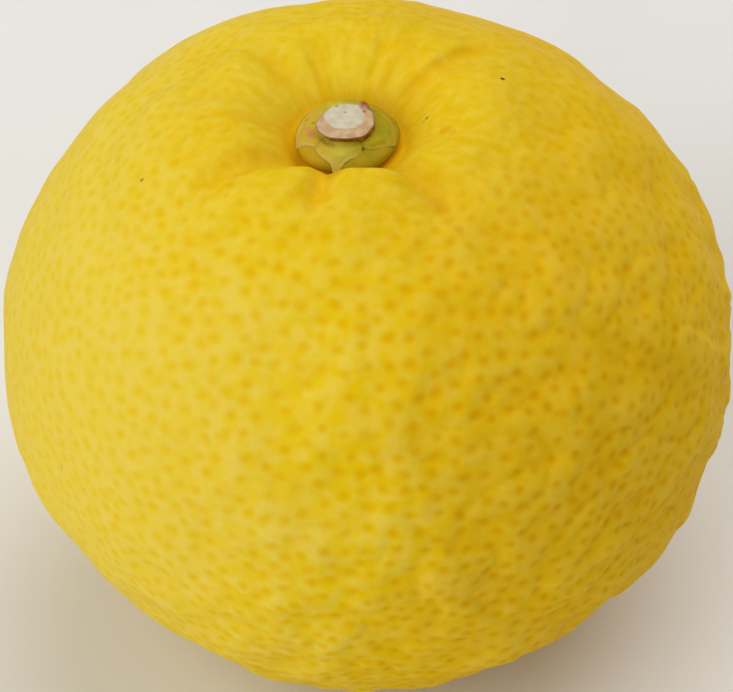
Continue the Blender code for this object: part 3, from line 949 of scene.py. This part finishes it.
def makeStub():
    addCylinder = bpy.ops.mesh.primitive_cylinder_add
    piece = newPiece("cutStem", addCylinder, vertices=160, radius=1, depth=1, location=(0, 0, 0.5))
    bpy.ops.object.transform_apply(location=True, rotation=False, scale=False)
    mesh = piece.data
    bpy.context.tool_settings.mesh_select_mode = (False, False, True)
    bpy.ops.object.mode_set(mode="EDIT")
    bpy.ops.mesh.select_all(action="DESELECT")
    bpy.ops.object.mode_set(mode="OBJECT")
    for face in mesh.polygons:
        face.select = face.normal.z > 0.9
    bpy.ops.object.mode_set(mode="EDIT")
    done = 0.0
    for share in stub["rings"]:
        bpy.ops.mesh.inset(thickness=share - done)
        done = share
    bpy.ops.mesh.poke()
    bpy.ops.mesh.select_all(action="DESELECT")
    bpy.ops.object.mode_set(mode="OBJECT")
    bpy.context.tool_settings.mesh_select_mode = (False, True, False)
    for edge in mesh.edges:  # the upright edges of the side
        low, high = (mesh.vertices[index].co.z for index in edge.vertices)
        edge.select = abs(low - high) > 0.5
    bpy.ops.object.mode_set(mode="EDIT")
    bpy.ops.mesh.subdivide(number_cuts=5)
    bpy.ops.object.mode_set(mode="OBJECT")
    points = readPoints(mesh)
    azimuth = np.arctan2(points[:, 1], points[:, 0])
    share = np.hypot(points[:, 0], points[:, 1])
    up = points[:, 2]
    angles, reaches = np.array(sorted(stub["outline"])).T
    around = np.degrees(azimuth) % 360
    turns = stub["turns"]
    reach = sum(np.interp((around + turn) % 360, angles, reaches * mm, period=360) for turn in turns)
    away = share * (reach / len(turns)) * atLeast(stub["footShare"], np.sin(up * math.pi / 2))
    (faceX, faceY), (footX, footY) = stub["face"], stub["foot"]
    x = footX + (faceX - footX) * up + away * np.cos(azimuth)
    y = footY + (faceY - footY) * up + away * np.sin(azimuth)
    z = overDisc + stub["faceRise"] * up
    woodX, woodY, woodRadius = stub["wood"]
    low, high = stub["woodEdge"]
    inWood = 1 - ease(woodRadius + low, woodRadius + high, np.hypot(x - woodX, y - woodY))
    rounded = ease(*stub["roundedFrom"], share)
    z += np.where(up > 0.99, stub["woodRise"] * inWood - stub["roundedBy"] * rounded, 0)
    heading, spread, tall = stub["flap"]
    torn = np.exp(-((degreesFrom(heading, azimuth) / spread) ** 2))
    z += tall * torn * ease(*stub["flapOut"], share) * ease(*stub["flapUp"], up)
    placed = np.column_stack((x, y, z))
    length, tall = stub["lump"]
    lump = tall * ease(*stub["lumpUp"], up) * noiseAt(placed, length)
    placed += lump[:, None] * ringPlaces(azimuth, share, np.full(len(share), 0.5))
    writePoints(mesh, placed)
    giveAttribute(mesh, "stubPlace", "POINT", np.column_stack((share, up, azimuth)))
    bpy.ops.object.shade_smooth_by_angle(angle=math.radians(50))
    return piece


# Wood cut with shears: pale, fibrous and matte, in a ring of living bark with a brown skin
cutWood = {
    "patch": (0.9 * mm, 3.0),  # length and detail
    "tones": {  # where its patches start and are full, its tone and theirs
        "wood": (0.35, 0.65, "d4cab2", "c9bd9e"),
        "bark": (0.4, 0.65, "c29c72", "d0b28c"),
        "skin": (0.4, 0.6, "a87814", "7c5220"),
    },
    "uneven": 0.5 * mm,  # the wood's edge
    "barkFrom": (0.12 * mm, 0.38 * mm),  # beyond the wood's radius
    "rim": "7c5220",
    "rimFrom": (0.955, 0.995),  # share of the way out
    "rimShare": 0.8,
    "skinFrom": (0.98, 0.9),  # share of the way up
    "grain": (0.22 * mm, 4.0, 0.07),  # length, detail and bump in mm
    "markFade": (1.3, 0.3),  # shares of a mark's radius where it starts and is full
    "marks": (  # place in mm, radius in mm, colour and strength
        ((-1.95, 0.55, 58.35), 0.15, "8c7c5c", 0.8),
        ((-2.75, 1.45, 58.3), 0.24, "94785a", 0.7),
        ((-0.2, 0.75, 58.3), 0.24, "8a6242", 0.8),
        ((-0.1, 1.6, 58.75), 0.60, "94502c", 0.95),
        ((-0.7, 1.95, 58.6), 0.40, "9a5a34", 0.85),
        ((0.35, 1.1, 58.5), 0.40, "8a4e2c", 0.85),
    ),
}


def stubMaterial():
    material, tree, shader = newMaterial("cutStemWood")
    place = addNode(tree, "TexCoord", output="Object")
    given = addNode(tree, "Attribute", settings={"attribute_name": "stubPlace"}, output="Vector")
    share, up = addNode(tree, "SeparateXYZ", (given,), output=(0, 1))
    patch = addNode(tree, "TexNoise", noiseInputs(place, *cutWood["patch"]))
    woodX, woodY, woodRadius = stub["wood"]
    aside = addNode(tree, "VectorMath", (place, (woodX, woodY, 0)), difference)
    out = flattened(tree, aside)[1]
    uneven = addNode(tree, "Math", (patch, cutWood["uneven"], out), productPlus)
    tones = {}
    for name, (start, full, tone, patchTone) in cutWood["tones"].items():
        tones[name] = addLayers(tree, tone, [(patch, start, full, 1.0, patchTone)])
    start, full = cutWood["barkFrom"]
    colour = addLayers(tree, tones["wood"], (
        (uneven, woodRadius + start, woodRadius + full, 1.0, tones["bark"]),
        (share, *cutWood["rimFrom"], cutWood["rimShare"], cutWood["rim"]),
        (up, *cutWood["skinFrom"], 1.0, tones["skin"]),
    ))
    colour = addMarks(tree, colour, place, cutWood["marks"], cutWood["markFade"])
    finish = {"Base Color": colour, "Roughness": 0.75, "Specular IOR Level": 0.12}
    finishSurface(tree, shader, place, cutWood["grain"], finish)
    return material


# The photograph's viewpoint, a pale floor, and soft light from the upper left
studio = {
    "elevation": 43,
    "distance": 0.42,
    "target": (0, 0, 29.3 * mm),
    "lens": 212.8,  # mm, as the sensor's width is
    "sensorWidth": 36,
    "floorSize": 4.0,
    "paper": ((0.3, "e6e4df"), (0.7, "eae8e3")),  # plain matt paper, with faint clouds
    "paperCloud": (1 / 30, 2.0),  # length and detail
    "world": 0.332,
    "lights": {
        "keyLight": {"azimuth": 219, "elevation": 32, "distance": 1.0, "size": 1.3, "power": 6.86},
        "backLight": {"azimuth": 58, "elevation": 60, "distance": 1.0, "size": 1.2, "power": 6.2},
    },
}


def aim(thing, target):
    thing.rotation_euler = (Vector(target) - thing.location).to_track_quat("-Z", "Y").to_euler()


def makeStudio():
    scene = bpy.context.scene
    camera = bpy.data.objects.new("camera", bpy.data.cameras.new("camera"))
    scene.collection.objects.link(camera)
    e = math.radians(studio["elevation"])
    camera.location = Vector(studio["target"]) + studio["distance"] * Vector((0, -math.cos(e), math.sin(e)))
    aim(camera, studio["target"])
    camera.data.sensor_width = studio["sensorWidth"]
    camera.data.lens = studio["lens"]
    camera.data.clip_start = 0.01
    scene.camera = camera
    floor = newPiece("floor", bpy.ops.mesh.primitive_plane_add, size=studio["floorSize"])
    material, tree, shader = newMaterial("floorPaper")
    place = addNode(tree, "TexCoord", output="Object")
    cloud = addNode(tree, "TexNoise", noiseInputs(place, *studio["paperCloud"]))
    shade = addNode(tree, "ValToRGB", (cloud,), stops=studio["paper"])
    setInputs(tree, shader, {"Base Color": shade, "Roughness": 0.9})
    floor.data.materials.append(material)
    for name, given in studio["lights"].items():
        lamp = bpy.data.lights.new(name, "AREA")
        lamp.shape = "DISK"
        lamp.size = given["size"]
        lamp.energy = given["power"]
        light = bpy.data.objects.new(name, lamp)
        scene.collection.objects.link(light)
        toLight = Vector(direction(given["azimuth"], given["elevation"]))
        light.location = Vector(studio["target"]) + given["distance"] * toLight
        aim(light, studio["target"])
    world = bpy.data.worlds.new("world")
    scene.world = world
    world.use_nodes = True
    background = world.node_tree.nodes["Background"]
    background.inputs["Color"].default_value = (1, 1, 1, 1)
    background.inputs["Strength"].default_value = studio["world"]
    scene.view_settings.view_transform = "Standard"
    print("studio made")


makeStudio()
finishPiece(makeFruit(), rindMaterial(), "fruit")
finishPiece(makeDisc(), discMaterial(), "floral_disc")
finishPiece(makeCalyx(), calyxMaterial(), "calyx")
finishPiece(makeStub(), stubMaterial(), "stem_stub")
